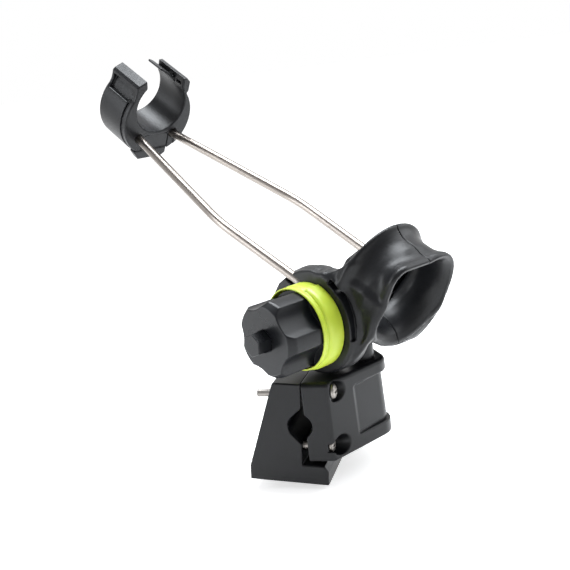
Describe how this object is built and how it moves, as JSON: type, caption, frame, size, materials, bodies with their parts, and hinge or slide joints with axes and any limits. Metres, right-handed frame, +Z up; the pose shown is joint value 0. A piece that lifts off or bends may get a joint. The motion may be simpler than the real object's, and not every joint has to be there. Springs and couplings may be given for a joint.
{
  "type": "rail-mount fishing rod holder",
  "caption": "Rail-clamp fishing rod holder: a tilting, swivelling cradle with a rear ring and a front spring clip on two bent wires, locked by a lobed knob.",
  "frame": {"origin": "centre of the rail opening between the clamp's two jaws, halfway along the clamp", "axes": "+Y along the rail, +Z up along the swivel post, +X from the loose jaw towards the clamp body; the cradle at rest is swivelled 147 degrees from +X about Z and tilted 30.2 degrees above level"},
  "size_m": [0.3302, 0.2717, 0.3354],
  "materials": {
    "black_plastic": "black glass-filled nylon, satin moulding texture",
    "grey_plastic": "dark grey acetal, smooth",
    "lime_plastic": "lime green moulded plastic, semi-gloss",
    "wire_steel": "polished stainless steel wire",
    "stainless": "stainless steel, machined",
    "brass": "turned brass"
  },
  "bodies": {
    "clamp": {"clamp_body": "black_plastic", "clamp_bolts": "stainless"},
    "jaw": {"rear_jaw": "black_plastic", "clamp_washers": "stainless", "clamp_nuts": "stainless"},
    "swivel": {"swivel_post": "black_plastic", "near_friction_disc": "grey_plastic", "far_friction_disc": "grey_plastic", "post_washer": "stainless", "post_screw": "stainless"},
    "cradle": {"near_cradle_half": "black_plastic", "far_cradle_half": "black_plastic", "seam_pins": "grey_plastic", "pivot_bolt": "stainless", "lock_ring": "lime_plastic", "knob_washer": "grey_plastic", "near_wire": "wire_steel", "far_wire": "wire_steel", "rod_clip": "black_plastic", "clip_base": "black_plastic", "clip_screws": "stainless", "wire_set_screws": "stainless"},
    "knob": {"knob": "black_plastic", "knob_insert": "brass", "drive_hex": "black_plastic"}
  },
  "joints": [
    {"name": "jaw_slide", "type": "slide", "parent": "clamp", "child": "jaw", "axis": [-1, 0, 0], "range_m": [0, 0.005]},
    {"name": "swivel_turn", "type": "hinge", "parent": "clamp", "child": "swivel", "pos_m": [0.0396, 0, 0], "axis": [0, 0, 1], "continuous": true},
    {"name": "cradle_tilt", "type": "hinge", "parent": "swivel", "child": "cradle", "pos_m": [0.0396, 0, 0.0753], "axis": [0.5441, 0.8391, 0], "range_deg": [-30, 25]},
    {"name": "knob_turn", "type": "hinge", "parent": "cradle", "child": "knob", "pos_m": [0.0396, 0, 0.0753], "axis": [0.5441, 0.8391, 0], "continuous": true}
  ]
}
